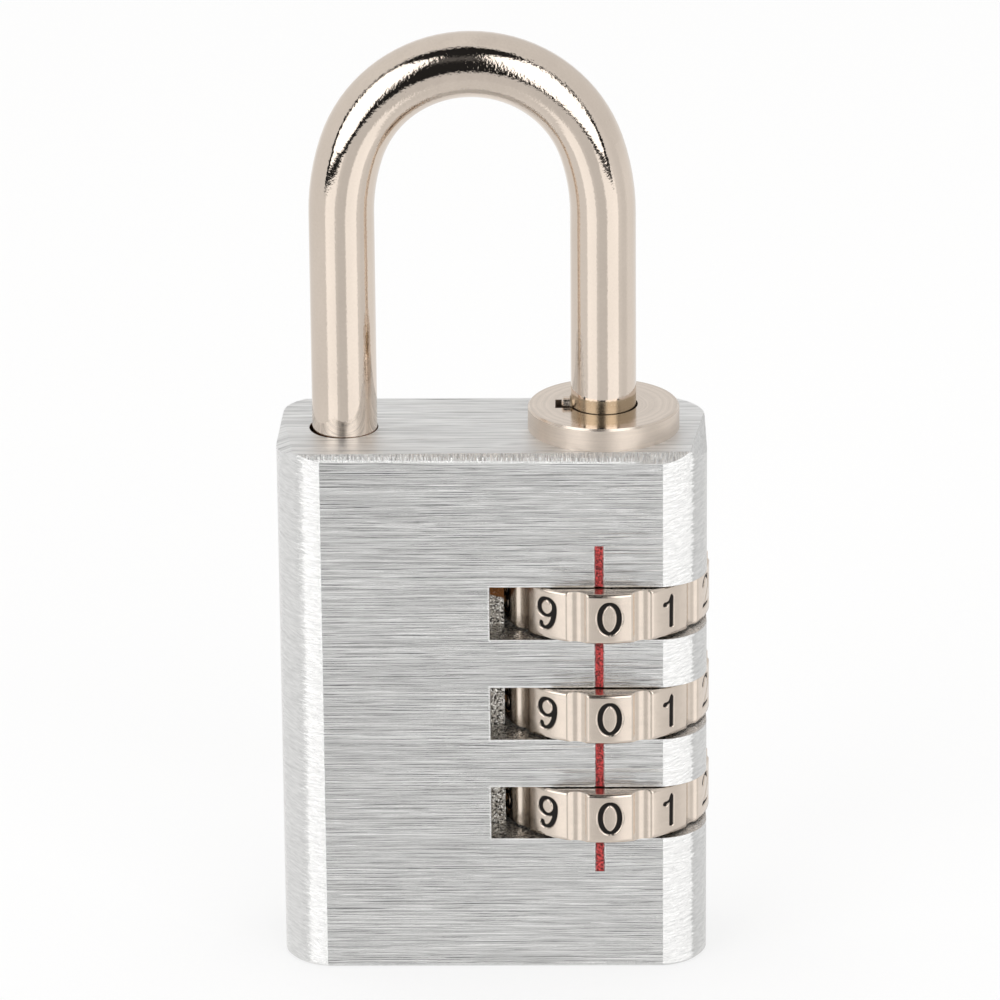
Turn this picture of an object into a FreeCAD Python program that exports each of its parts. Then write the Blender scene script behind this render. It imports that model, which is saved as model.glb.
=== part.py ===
import FreeCAD, Part
import math
import os

# Combination padlock with a solid aluminium body, a bent bar shackle and three number dials.
# Millimetres. +Z is up, the front face with the dial figures looks along -Y.
# The origin is at the bottom centre of the body.

V = FreeCAD.Vector

# Body block
BODY_W = 30.0            # width over the flanks
BODY_D = 12.2            # depth from front face to back face
BODY_H = 38.7            # height
FRONT_FLAT_W = 23.8      # width of the flat front face between its two sharp edges
FLANK_R = 3.6            # radius of the rounded front flanks
SIDE_LEAN_LEFT = 2.9     # how much the left side turns inwards towards the back, in degrees
SIDE_LEAN_RIGHT = 1.2    # and the right side
BACK_LEFT_R = 3.0        # radius of the back corner at the left
BACK_RIGHT_R = 4.0       # and at the right
BEVEL_LEFT_H = 0.36      # height of the front top bevel at the left flank
BEVEL_RIGHT_H = 0.62     # and at the right flank
BEVEL_SLOPE = 1.45       # depth of that bevel over its height
BACK_BEVEL = 0.4         # height and depth of the back top bevel
# Facets on the top side edges: height and width at the flank, height at the back
FACET_LEFT = (0.34, 0.9, 0.05)
FACET_RIGHT = (0.77, 0.86, 0.08)
BOTTOM_BREAK = 0.2       # chamfer round the bottom edge

# Shackle
BAR_R = 2.28             # radius of the bar
AXIS_X = 7.8             # axis of the long leg, which is also the axis of the dials
LEG_SPACING = 18.1       # from leg axis to leg axis
SHOULDER_R = 15.1        # bend of the bar above each leg
SHOULDER_TURN = 18.7     # how far that bend turns before the rounder crown, in degrees
SHACKLE_RISE = 26.5      # from body top to the bar's centre at the top of the arch
TOE_DEPTH = 5.6          # how far the short leg reaches into the body
TOE_CHAMFER = 0.7
TOE_HOLE_FIT = 0.14      # radial clearance of the toe in its hole
TOE_HOLE_SHIFT = 0.07    # the hole lies this much further from the long leg than the toe does
TOE_END_GAP = 0.05       # between the toe's end and the floor of its hole
LEG_END_CHAMFER = 0.5

# Dials and their slots
DIAL_PITCH = 7.55        # from dial to dial
SLOT_H = 3.95
DIAL_H = 3.7
DIAL_TOP_GAP = 0.08      # between a dial and the ceiling of its slot
DIAL_R = 7.42            # over the lands
DIAL_EDGE = 0.12         # chamfer on the rims
FIGURES = 10             # lands, flutes and inside notches per dial
DIAL_PHASE = 2.2         # turn of the figures past the front, in degrees
FLUTE_W = 1.5
FLUTE_DEPTH = 0.36
SLOT_CLEARANCE = 0.3     # between dial and slot wall
POCKET_DEPTH = 2.9       # depth of the square pocket at the left of each slot
POCKET_LEFT_X = -0.21    # left end of the window in the front face

# Index groove in the front face
INDEX_X = 7.45
INDEX_W = 0.72
INDEX_DEPTH = 0.15
INDEX_BELOW = 2.56       # how far it runs below the lowest slot
INDEX_ABOVE = 3.06       # and above the highest

# Bore with sleeves
BORE_R = 4.7
BORE_FLOOR_Z = 2.2
SLEEVE_R = 4.05          # outside radius of the sleeve's tube
SLEEVE_FIT = 0.07        # radial clearance between sleeve and dial
SLEEVE_WALL = 0.65
SLEEVE_ABOVE_DIAL = 0.75  # how far the sleeve stands above its dial
GATE_PLATE_T = 1.5
LEG_FIT = 0.12           # radial clearance of the long leg in gate plates and collar
TEETH = 5                # outside teeth of a sleeve
TOOTH_W = 1.0
TOOTH_H = 1.3
TOOTH_TIP_GAP = 0.1      # between a tooth's tip and the wall of the bore
TOOTH_FIT = 0.09         # between a tooth and its notch, on each side
WASHER_T = 0.3
STACK_GAP = 0.05         # axial play at each washer
WASHER_RIM_GAP = 0.08    # between a washer and the wall of the bore
WASHER_HOLE_R = 3.45     # lets the lugs pass

# Lug pins, peg and clip of the long leg
PIN_R = 0.6
PIN_FIT = 0.02
PIN_CHAMFER = 0.12
LUG_TIP_R = 3.15         # distance of a lug's tip from the leg's axis
LUG_GAP = 0.15           # between a lug and the gate plate above it
PIN_INSIDE = 1.6         # how far a pin reaches past the leg's axis
GATE_FIT = 0.15          # between a lug and the gate, all round
PEG_TIP_R = 2.92
CLIP_R = 3.2
CLIP_T = 0.55
CLIP_GROOVE_DEPTH = 0.55
CLIP_FIT = 0.03
CLIP_OPENING = 1.9
LIFT_GAP = 0.05          # left between clip and gate plate at full lift
LEG_BELOW_CLIP = 1.0
LEG_END_ROOM = 1.745     # between the leg's end and the floor of the bore

# Collar
COLLAR_R = 5.3
COLLAR_H = 1.65          # height of the flange above the body
COLLAR_EDGE = 0.14
COLLAR_GUIDE = 1.5       # length of the close hole below the flange
COLLAR_FIT = 0.02
COLLAR_INSIDE_R = 3.45
NOTCH_R = 3.37           # end of the collar's notch from the leg's axis
NOTCH_W = 1.7

# Springs
COIL_WIRE_R = 0.32
COIL_R = 4.05
COIL_TURNS = 3.5
COIL_CORNERS = 6         # arcs per turn of its wire
SEAT_T = 0.6
DETENT_T = 0.25          # thickness of the leaf
DETENT_H = 2.6
DETENT_NOSE_R = 0.62
DETENT_GAP = 0.05        # between nose and flute
DETENT_FOOT = 0.55
DETENT_SPAN = 3.5
RECESS_DEPTH = 1.2       # of the leaf spring's seat, past the slot wall
RECESS_W = 3.8

# Cutters run this far past what they cut, and joined shapes this far into each other
OVER = 1.0
SINK = 0.2

# Worked out from the sizes above
TOE_X = AXIS_X - LEG_SPACING
SLOT_R = DIAL_R + SLOT_CLEARANCE
TOE_HOLE_R = BAR_R + TOE_HOLE_FIT
DIAL_BORE_R = SLEEVE_R + SLEEVE_FIT
TOOTH_TIP_R = BORE_R - TOOTH_TIP_GAP
NOTCH_TIP_R = TOOTH_TIP_R + TOOTH_FIT
WASHER_R = BORE_R - WASHER_RIM_GAP
SLEEVE_BORE_R = SLEEVE_R - SLEEVE_WALL
LEG_HOLE_R = BAR_R + LEG_FIT
GATE_R = LUG_TIP_R + GATE_FIT
GATE_W = 2 * (PIN_R + GATE_FIT)
FLUTE_R = (FLUTE_W ** 2 / 4 + FLUTE_DEPTH ** 2) / (2 * FLUTE_DEPTH)
SLEEVE_LEN = DIAL_PITCH - WASHER_T - 2 * STACK_GAP
LIFT = DIAL_PITCH - LIFT_GAP
LEVELS = {"bottom": -1, "middle": 0, "top": 1}

# Heights from the floor of the bore up
LEG_END_Z = BORE_FLOOR_Z + LEG_END_ROOM
CLIP_Z = LEG_END_Z + LEG_BELOW_CLIP
LOWEST_PLATE_Z = CLIP_Z + CLIP_T + LIFT + LIFT_GAP
LOWEST_DIAL_TOP_Z = LOWEST_PLATE_Z + GATE_PLATE_T - SLEEVE_ABOVE_DIAL
DIAL_MID_Z = LOWEST_DIAL_TOP_Z + DIAL_TOP_GAP - SLOT_H / 2 + DIAL_PITCH


def slot_z(level):
    """Floor of the slot of a level."""
    return DIAL_MID_Z + LEVELS[level] * DIAL_PITCH - SLOT_H / 2


def dial_z(level):
    """Underside of the dial of a level."""
    return slot_z(level) + SLOT_H - DIAL_TOP_GAP - DIAL_H


def sleeve_top_z(level):
    """Top face of the sleeve, which is the top of its gate plate."""
    return dial_z(level) + DIAL_H + SLEEVE_ABOVE_DIAL


def lug_z(level):
    """Centre of a lug pin, close below the gate plate of its sleeve."""
    return sleeve_top_z(level) - GATE_PLATE_T - LUG_GAP - PIN_R


SEAT_Z = sleeve_top_z("bottom") - SLEEVE_LEN - STACK_GAP - SEAT_T
COLLAR_END_Z = sleeve_top_z("top") + 2 * STACK_GAP + WASHER_T
PEG_Z = BODY_H + COLLAR_H
SHOULDER_COS, SHOULDER_SIN = math.cos(math.radians(SHOULDER_TURN)), math.sin(math.radians(SHOULDER_TURN))
CROWN_R = (LEG_SPACING / 2 - SHOULDER_R * (1 - SHOULDER_COS)) / SHOULDER_COS
CROWN_Z = BODY_H + SHACKLE_RISE - CROWN_R
SHOULDER_Z = CROWN_Z - (SHOULDER_R - CROWN_R) * SHOULDER_SIN


def cylinder(radius, z0, z1, x=AXIS_X, y=0.0):
    """Upright cylinder from z0 to z1, on the dial axis unless told otherwise."""
    return Part.makeCylinder(radius, z1 - z0, V(x, y, z0))


def ring(outer, inner, z0, z1):
    """Upright ring on the dial axis."""
    return cylinder(outer, z0, z1).cut(cylinder(inner, z0, z1))


def block(x0, x1, y0, y1, z0, z1):
    """Box between two corners."""
    return Part.makeBox(x1 - x0, y1 - y0, z1 - z0, V(x0, y0, z0))


def turned(shape, angle):
    """Copy of a shape turned about the dial axis, in degrees."""
    copy = shape.copy()
    copy.rotate(V(AXIS_X, 0, 0), V(0, 0, 1), angle)
    return copy


def chamfered_bar(radius, z0, z1, chamfer, x=AXIS_X):
    """Upright bar whose lower end is chamfered."""
    bar = cylinder(radius, z0, z1, x)
    rims = [e for e in bar.Edges if abs(e.BoundBox.ZMax - z0) < 1e-6 and e.BoundBox.XLength > radius]
    return bar.makeChamfer(chamfer, rims)


def side_outline(side, lean, corner_r, inset):
    """Edges of one side in plan, each tangent to the next: front flank, leaning side and back corner."""
    lean = math.radians(lean)
    flank_x = BODY_W / 2 - FLANK_R
    rise = math.sqrt(FLANK_R ** 2 - (FRONT_FLAT_W / 2 - flank_x) ** 2)
    flank_y = -BODY_D / 2 + rise
    start = math.asin((rise - inset) / (FLANK_R - inset))
    corner_y = BODY_D / 2 - corner_r
    corner_x = flank_x + (FLANK_R - corner_r - (corner_y - flank_y) * math.sin(lean)) / math.cos(lean)

    def bend(x, y, radius, angles):
        a, b, c = [V(side * (x + radius * math.cos(t)), y + radius * math.sin(t), 0) for t in angles]
        return Part.Arc(a, b, c)

    flank = bend(flank_x, flank_y, FLANK_R - inset, (-start, (lean - start) / 2, lean))
    corner = bend(corner_x, corner_y, corner_r - inset, (lean, (lean + math.pi / 2) / 2, math.pi / 2))
    return [flank, Part.LineSegment(flank.EndPoint, corner.StartPoint), corner]


def body_outline(z, inset=0.0):
    """Plan of the body at one height: flat front with sharp edges, rounded flanks and back corners."""
    right = side_outline(1, SIDE_LEAN_RIGHT, BACK_RIGHT_R, inset)
    left = side_outline(-1, SIDE_LEAN_LEFT, BACK_LEFT_R, inset)
    edges = [Part.LineSegment(left[0].StartPoint, right[0].StartPoint)] + right
    edges += [Part.LineSegment(right[-1].EndPoint, left[-1].EndPoint)] + left
    wire = Part.Wire(Part.__sortEdges__([edge.toShape() for edge in edges]))
    wire.translate(V(0, 0, z))
    return wire


def bevel_section(x, y_face, height, depth):
    """Triangle that the bevel takes off the top edge at one end, with room outside the block."""
    side = math.copysign(1.0, y_face)
    low, high = V(x, y_face, BODY_H - height), V(x, y_face - side * depth, BODY_H)
    along = high - low
    outside = V(x, y_face + side * OVER, BODY_H + OVER)
    corners = [low - along, high + along, outside, low - along]
    return Part.makePolygon(corners)


def top_bevels():
    """Cutters for the brushed bevels on the front and back top edges."""
    half_w, half_d = BODY_W / 2, BODY_D / 2
    front = Part.makeLoft([
        bevel_section(-half_w, -half_d, BEVEL_LEFT_H, BEVEL_LEFT_H * BEVEL_SLOPE),
        bevel_section(half_w, -half_d, BEVEL_RIGHT_H, BEVEL_RIGHT_H * BEVEL_SLOPE),
    ], True)
    back = Part.makeLoft([
        bevel_section(-half_w, half_d, BACK_BEVEL, BACK_BEVEL),
        bevel_section(half_w, half_d, BACK_BEVEL, BACK_BEVEL),
    ], True)
    return [front, back]


def side_facet(side, height, width, back_height):
    """Cutter above a plane on one side's top edge, deepest at the flank and running out towards the back."""
    half_w, half_d = BODY_W / 2, BODY_D / 2
    front_y, back_y = FLANK_R - half_d, half_d - BACK_LEFT_R
    across, along = height / width, (height - back_height) / (back_y - front_y)

    def on_plane(x, y):
        return V(side * x, y, BODY_H - height - across * (x - half_w) + along * (y - front_y))

    x0, x1, y0, y1 = half_w - FLANK_R, half_w + OVER, -half_d - OVER, half_d + OVER
    corners = [on_plane(x0, y0), on_plane(x1, y0), on_plane(x1, y1), on_plane(x0, y1), on_plane(x0, y0)]
    return Part.Face(Part.makePolygon(corners)).extrude(V(0, 0, FLANK_R + OVER))


def dial_slot(level):
    """Room for one dial: a disc milled in from the right, two square pockets and the spring's seat."""
    z0, z1 = slot_z(level), slot_z(level) + SLOT_H
    half_d = BODY_D / 2
    room = cylinder(SLOT_R, z0, z1).fuse(block(AXIS_X, BODY_W / 2 + OVER, -SLOT_R, SLOT_R, z0, z1))
    for y0, y1 in ((-half_d - OVER, POCKET_DEPTH - half_d), (half_d - POCKET_DEPTH, half_d + OVER)):
        room = room.fuse(block(POCKET_LEFT_X, AXIS_X, y0, y1, z0, z1))
    wall_x = AXIS_X - SLOT_R
    seat = block(wall_x - RECESS_DEPTH, AXIS_X, -RECESS_W / 2, RECESS_W / 2, z0, z1)
    return room.fuse(turned(seat, DIAL_PHASE))


def make_body():
    """Block with its bevels, bore, toe hole, dial slots and index groove."""
    foot = Part.makeLoft([body_outline(0.0, BOTTOM_BREAK), body_outline(BOTTOM_BREAK)], True, True)
    block_top = Part.Face(body_outline(BOTTOM_BREAK)).extrude(V(0, 0, BODY_H - BOTTOM_BREAK))
    body = foot.fuse(block_top).removeSplitter()
    cutters = top_bevels() + [side_facet(-1, *FACET_LEFT), side_facet(1, *FACET_RIGHT)]
    cutters.append(cylinder(BORE_R, BORE_FLOOR_Z, BODY_H + OVER))
    toe_floor = BODY_H - TOE_DEPTH - TOE_END_GAP
    cutters.append(cylinder(TOE_HOLE_R, toe_floor, BODY_H + OVER, TOE_X - TOE_HOLE_SHIFT))
    cutters += [dial_slot(level) for level in LEVELS]
    front = -BODY_D / 2
    half = INDEX_W / 2
    cutters.append(block(INDEX_X - half, INDEX_X + half, front - OVER, front + INDEX_DEPTH,
                         slot_z("bottom") - INDEX_BELOW, slot_z("top") + SLOT_H + INDEX_ABOVE))
    return body.cut(cutters).removeSplitter()


def make_collar():
    """Bush pressed into the bore: flange on top, close hole with a notch, wide skirt below."""
    flange = cylinder(COLLAR_R, BODY_H, BODY_H + COLLAR_H)
    rims = [e for e in flange.Edges if abs(e.BoundBox.ZMin - BODY_H - COLLAR_H) < 1e-6]
    flange = flange.makeChamfer(COLLAR_EDGE, rims)
    bush = flange.fuse(cylinder(BORE_R - COLLAR_FIT, COLLAR_END_Z, BODY_H))
    guide_z = BODY_H - COLLAR_GUIDE
    top = BODY_H + COLLAR_H
    bush = bush.cut([
        cylinder(COLLAR_INSIDE_R, COLLAR_END_Z, guide_z),
        cylinder(LEG_HOLE_R, guide_z, top),
        block(AXIS_X - NOTCH_R, AXIS_X, -NOTCH_W / 2, NOTCH_W / 2, guide_z, top),
    ])
    return bush.removeSplitter()


def cross_hole(z):
    """Hole for a pin of the long leg, open to the left."""
    start = V(AXIS_X - BAR_R - OVER, 0, z)
    return Part.makeCylinder(PIN_R + PIN_FIT, BAR_R + OVER + PIN_INSIDE + PIN_FIT, start, V(1, 0, 0))


def arch_bends():
    """The three bends of the arch, each tangent to the next: shoulder, crown and shoulder."""
    section = Part.Face(Part.Wire(Part.makeCircle(BAR_R, V(AXIS_X, 0, SHOULDER_Z), V(0, 0, 1))))
    centres = [V(AXIS_X - SHOULDER_R, 0, SHOULDER_Z), V(AXIS_X - LEG_SPACING / 2, 0, CROWN_Z),
               V(TOE_X + SHOULDER_R, 0, SHOULDER_Z)]
    across = V(0, -1, 0)
    bends = []
    for centre, turn in zip(centres, (SHOULDER_TURN, 180 - 2 * SHOULDER_TURN, SHOULDER_TURN)):
        bends.append(section.revolve(centre, across, turn))
        section = section.copy()
        section.rotate(centre, across, turn)
    return bends


def make_shackle():
    """Bent round bar with its pin holes and the groove of the retaining clip."""
    long_leg = chamfered_bar(BAR_R, LEG_END_Z, SHOULDER_Z, LEG_END_CHAMFER)
    toe = chamfered_bar(BAR_R, BODY_H - TOE_DEPTH, SHOULDER_Z, TOE_CHAMFER, TOE_X)
    bar = long_leg.fuse(arch_bends() + [toe]).removeSplitter()
    groove = ring(BAR_R + OVER, BAR_R - CLIP_GROOVE_DEPTH, CLIP_Z - CLIP_FIT, CLIP_Z + CLIP_T + CLIP_FIT)
    holes = [cross_hole(lug_z(level)) for level in LEVELS] + [cross_hole(PEG_Z)]
    return bar.cut([groove] + holes)


def make_pin(z, tip_radius):
    """Round pin in a cross hole of the long leg, with its tip towards the left."""
    length = tip_radius + PIN_INSIDE
    pin = Part.makeCylinder(PIN_R, length, V(AXIS_X - tip_radius, 0, z), V(1, 0, 0))
    tip = [e for e in pin.Edges if e.BoundBox.XMax < AXIS_X - tip_radius + 1e-6]
    return pin.makeChamfer(PIN_CHAMFER, tip)


def make_clip():
    """Open ring in the groove of the long leg."""
    clip = ring(CLIP_R, BAR_R - CLIP_GROOVE_DEPTH + CLIP_FIT, CLIP_Z, CLIP_Z + CLIP_T)
    half = CLIP_OPENING / 2
    return clip.cut(block(AXIS_X, AXIS_X + CLIP_R + OVER, -half, half, CLIP_Z, CLIP_Z + CLIP_T))


def make_dial(level):
    """Number ring: ten lands with flutes between them, and ten notches inside."""
    z0, z1 = dial_z(level), dial_z(level) + DIAL_H
    blank = cylinder(DIAL_R, z0, z1)
    rims = [e for e in blank.Edges if e.BoundBox.ZLength < 1e-6]
    blank = blank.makeChamfer(DIAL_EDGE, rims)
    step = 360.0 / FIGURES
    flute = cylinder(FLUTE_R, z0, z1, AXIS_X, -(DIAL_R + FLUTE_R - FLUTE_DEPTH))
    half = TOOTH_W / 2 + TOOTH_FIT
    notch = block(AXIS_X - half, AXIS_X + half, -NOTCH_TIP_R, 0, z0, z1)
    cutters = [cylinder(DIAL_BORE_R, z0, z1)]
    for n in range(FIGURES):
        cutters.append(turned(flute, (n + 0.5) * step + DIAL_PHASE))
        cutters.append(turned(notch, n * step + DIAL_PHASE))
    return blank.cut(cutters)


def make_sleeve(level):
    """Clutch sleeve: tube with outside teeth, and a gate plate with one gate towards the left."""
    top = sleeve_top_z(level)
    bottom = top - SLEEVE_LEN
    z0 = dial_z(level)
    tube = cylinder(SLEEVE_R, bottom, top)
    half = TOOTH_W / 2
    tooth = block(AXIS_X - half, AXIS_X + half, -TOOTH_TIP_R, SINK - SLEEVE_R, z0, z0 + TOOTH_H)
    tube = tube.fuse([turned(tooth, n * 360.0 / TEETH + DIAL_PHASE) for n in range(TEETH)])
    plate = top - GATE_PLATE_T
    return tube.cut([
        cylinder(SLEEVE_BORE_R, bottom, plate),
        cylinder(LEG_HOLE_R, plate, top),
        block(AXIS_X - GATE_R, AXIS_X, -GATE_W / 2, GATE_W / 2, plate, top),
    ])


def make_washer(below):
    """Thrust washer above the sleeve of a level."""
    z0 = sleeve_top_z(below) + STACK_GAP
    return ring(WASHER_R, WASHER_HOLE_R, z0, z0 + WASHER_T)


def make_spring_seat():
    """Washer between the lowest sleeve and the coil spring."""
    return ring(WASHER_R, WASHER_HOLE_R, SEAT_Z, SEAT_Z + SEAT_T)


def bent_wire(corners, radius):
    """Round wire along arcs, each tangent to two equal runs of the corners at their midpoints."""
    bends = []
    for before, corner, after in zip(corners, corners[1:], corners[2:]):
        start, run, next_run = (before + corner) * 0.5, corner - before, after - corner
        axis = run.cross(next_run).normalize()
        turn = run.getAngle(next_run)
        inward = axis.cross(run).normalize()
        centre = start + inward * (run.Length / 2 / math.tan(turn / 2))
        disc = Part.Face(Part.Wire(Part.makeCircle(radius, start, run)))
        bends.append(disc.revolve(centre, axis, math.degrees(turn)))
    return bends[0].fuse(bends[1:])


def make_reset_spring():
    """Coil spring with ground ends, between the floor of the bore and its seat."""
    step = 2 * math.pi / COIL_CORNERS
    count = round(COIL_TURNS * COIL_CORNERS)
    rise = (SEAT_Z - BORE_FLOOR_Z) / count
    reach = COIL_R / math.cos(step / 2)
    corners = [V(AXIS_X + reach * math.cos(n * step), reach * math.sin(n * step), BORE_FLOOR_Z + (n - 0.5) * rise)
               for n in range(count + 2)]
    return bent_wire(corners, COIL_WIRE_R).common(cylinder(BORE_R, BORE_FLOOR_Z, SEAT_Z))


def make_detent_spring(level):
    """Bowed leaf spring: two feet on the floor of its seat and a round nose in the dial's flute."""
    foot_x = AXIS_X - SLOT_R - RECESS_DEPTH + DETENT_T
    nose_x = AXIS_X - (DIAL_R - FLUTE_DEPTH) - DETENT_GAP
    centre_x = nose_x - DETENT_NOSE_R
    half_span = DETENT_SPAN / 2
    knee = V(foot_x, half_span - DETENT_FOOT, 0)
    reach = V(centre_x, 0, 0) - knee
    lean = math.atan2(-reach.y, reach.x) + math.asin(DETENT_NOSE_R / reach.Length)
    touch = V(centre_x + DETENT_NOSE_R * math.sin(lean), DETENT_NOSE_R * math.cos(lean), 0)

    def below(p):
        return V(p.x, -p.y, 0)

    foot = V(foot_x, half_span, 0)
    path = Part.Wire([
        Part.LineSegment(foot, knee).toShape(),
        Part.LineSegment(knee, touch).toShape(),
        Part.Arc(touch, V(nose_x, 0, 0), below(touch)).toShape(),
        Part.LineSegment(below(touch), below(knee)).toShape(),
        Part.LineSegment(below(knee), below(foot)).toShape(),
    ])
    leaf = path.makeOffset2D(DETENT_T, 0, True, True)
    z0 = slot_z(level) + (SLOT_H - DETENT_H) / 2
    leaf.translate(V(0, 0, z0))
    return turned(leaf.extrude(V(0, 0, DETENT_H)), DIAL_PHASE)


def build_parts():
    """All solids by node name."""
    parts = {
        "body": make_body(),
        "collar": make_collar(),
        "shackle": make_shackle(),
        "reset_peg": make_pin(PEG_Z, PEG_TIP_R),
        "retaining_clip": make_clip(),
        "washer_top": make_washer("top"),
        "washer_upper": make_washer("middle"),
        "washer_lower": make_washer("bottom"),
        "spring_seat": make_spring_seat(),
        "reset_spring": make_reset_spring(),
    }
    for level in LEVELS:
        parts["dial_" + level] = make_dial(level)
        parts["sleeve_" + level] = make_sleeve(level)
        parts["lug_pin_" + level] = make_pin(lug_z(level), LUG_TIP_R)
        parts["detent_spring_" + level] = make_detent_spring(level)
    return parts


os.makedirs("parts", exist_ok=True)
for name, shape in build_parts().items():
    solids = shape.Solids
    print(name, "solids", len(solids), "valid", shape.isValid(), "volume", round(shape.Volume, 2))
    solids[0].exportStep("parts/" + name + ".step")
print("lift", round(LIFT, 3))
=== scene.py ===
import math

import bpy
import numpy as np
from bpy.props import FloatProperty, FloatVectorProperty, IntProperty, PointerProperty
from mathutils import Matrix, Vector


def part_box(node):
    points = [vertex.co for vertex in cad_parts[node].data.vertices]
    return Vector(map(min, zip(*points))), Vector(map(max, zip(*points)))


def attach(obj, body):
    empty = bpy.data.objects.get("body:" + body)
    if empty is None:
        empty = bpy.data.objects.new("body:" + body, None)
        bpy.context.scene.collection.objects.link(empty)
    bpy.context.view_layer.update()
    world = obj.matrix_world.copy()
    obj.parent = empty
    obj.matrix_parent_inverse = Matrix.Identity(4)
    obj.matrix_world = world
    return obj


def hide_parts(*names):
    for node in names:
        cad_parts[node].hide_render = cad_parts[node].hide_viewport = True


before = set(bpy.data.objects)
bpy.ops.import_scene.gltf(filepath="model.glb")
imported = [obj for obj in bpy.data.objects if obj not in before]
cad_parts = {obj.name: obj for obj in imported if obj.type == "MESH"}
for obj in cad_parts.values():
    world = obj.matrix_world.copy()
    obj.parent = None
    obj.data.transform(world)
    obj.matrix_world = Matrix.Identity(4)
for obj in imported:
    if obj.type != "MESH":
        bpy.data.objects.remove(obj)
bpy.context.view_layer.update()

bl_info = {
    "name": "Combination Padlock",
    "version": (1, 0, 0),
    "blender": (4, 5, 0),
    "location": "3D View > Sidebar > Padlock",
    "description": "Engraved dials, index paint, metal finishes and a studio for a three-dial padlock",
    "category": "Object",
}

MM = 0.001
FIGURES = 10
LEVELS = ("top", "middle", "bottom")
BODY_LOW, BODY_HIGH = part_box("body")
DIAL_LOW, DIAL_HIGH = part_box("dial_middle")
DIAL_RADIUS = -DIAL_LOW.y
AXIS_X = (DIAL_LOW.x + DIAL_HIGH.x) / 2
DIAL_BOXES = {level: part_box("dial_" + level) for level in LEVELS}

# Places that the finishes follow, in millimetres.
BODY_TOP = BODY_HIGH.z / MM
FRONT_Y = BODY_LOW.y / MM
COLLAR_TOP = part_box("collar")[1].z / MM
TOE_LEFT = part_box("shackle")[0].x / MM
TOE_INSET = 2.21        # from the short leg's left side to the middle of its hole
TOE_HOLE_R = 2.44       # just outside the wall of that hole
BEVEL_DROP = 0.49       # from the top face down to the lower edge of the front's bevel, at the middle
BEVEL_SLOPE = 0.0087    # further drop of that edge for each millimetre to the right
WINDOW_LEFT = -0.21     # left end of the windows of the dials
OUTER_LEFT, OUTER_RIGHT = 12.4, 13.6    # where the slots' level faces turn from milled to clean
ARCH_LOW, ARCH_HIGH = 60.5, 63.5    # where the grain of the shackle's plate grows coarser

# Fineness of the number rings.
FIGURE_ROOM = 0.9 * MM  # half the width of a land that gets the fine grid
NOTCH_SLIVER = 0.0004   # half the angle in which a notch's wall rises, in radians
FLUTE_EDGE = 0.025 * MM     # rounding between land and flute
SHELF = 0.04 * MM       # how far the outer rim stands in from the outside

# Fit of the index paint.
PAINT_END = 0.02 * MM   # between the end of a stretch and the slot or the end of the line
PAINT_BACK = 0.004 * MM     # between the back of the paint and the floor of its groove
PAINT_SIDE = 0.005 * MM     # added to each side of the paint's mean width


def length(name, text, millimetres):
    """Property for a length, with its default given in millimetres."""
    return FloatProperty(name=name, description=text, default=millimetres * MM, unit="LENGTH", precision=5)


def colour(name, text, value):
    """Property for a linear colour."""
    return FloatVectorProperty(name=name, description=text, default=value, subtype="COLOR", size=3,
                               min=0.0, max=1.0)


def factor(name, text, value, high=1.0):
    """Property for a plain number from nought up."""
    return FloatProperty(name=name, description=text, default=value, min=0.0, max=high)


def angle(name, text, degrees):
    """Property for an angle, with its default given in degrees."""
    return FloatProperty(name=name, description=text, default=math.radians(degrees), unit="ROTATION")


class PadlockDialSizes(bpy.types.PropertyGroup):
    """Sizes of a number ring and of its engraved figures."""

    bore: length("Bore radius", "Inside radius of the ring", 4.12)
    notch_tip: length("Notch radius", "How far the inside notches reach from the axis", 4.69)
    notch_half: length("Half notch width", "Half the width of an inside notch", 0.59)
    flute_width: length("Flute width", "Width of the hollow between two lands", 1.5)
    flute_depth: length("Flute depth", "Depth of the hollow between two lands", 0.36)
    rim: length("Rim chamfer", "Chamfer on both rims", 0.12)
    figure_height: length("Figure height", "Height of a figure between the middles of its strokes", 2.2)
    figure_drop: length("Figure drop", "How far a figure sits below the middle of its land", -0.03)
    thick_stroke: length("Thick stroke", "Half width of an upright stroke", 0.205)
    thin_stroke: length("Thin stroke", "Half width of a level stroke", 0.12)
    depth: length("Engraving depth", "Depth of the engraved figures", 0.1)
    wall: length("Engraving wall", "Width of the sloping wall of an engraved stroke", 0.07)
    cell: length("Grid cell", "Spacing of the surface grid round a figure", 0.042)
    phase: angle("Figure phase", "Turn of the figures past the front", 2.9)


class PadlockPaintSizes(bpy.types.PropertyGroup):
    """Sizes of the painted index line."""

    line_x: length("Line position", "Middle of the index line across the face", 7.45)
    half_width: length("Half width", "Half the width of the groove", 0.36)
    groove: length("Groove depth", "Depth of the groove in the front face", 0.15)
    thickness: length("Paint thickness", "Mean thickness of the paint in the groove", 0.1)
    grain: length("Grain", "Height of the grains in the paint", 0.035)
    ragged: length("Ragged edge", "How far the edge of the paint wanders", 0.09)
    below: length("Line below", "How far the line runs below the lowest slot", 2.56)
    above: length("Line above", "How far the line runs above the highest slot", 3.06)
    slot_below: length("Slot below dial", "Room between a dial and the floor of its slot", 0.17)
    slot_above: length("Slot above dial", "Room between a dial and the ceiling of its slot", 0.08)
    cell: length("Grid cell", "Spacing of the paint's surface grid", 0.05)
    seed: IntProperty(name="Seed", description="Start of the random grain", default=7)


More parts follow.
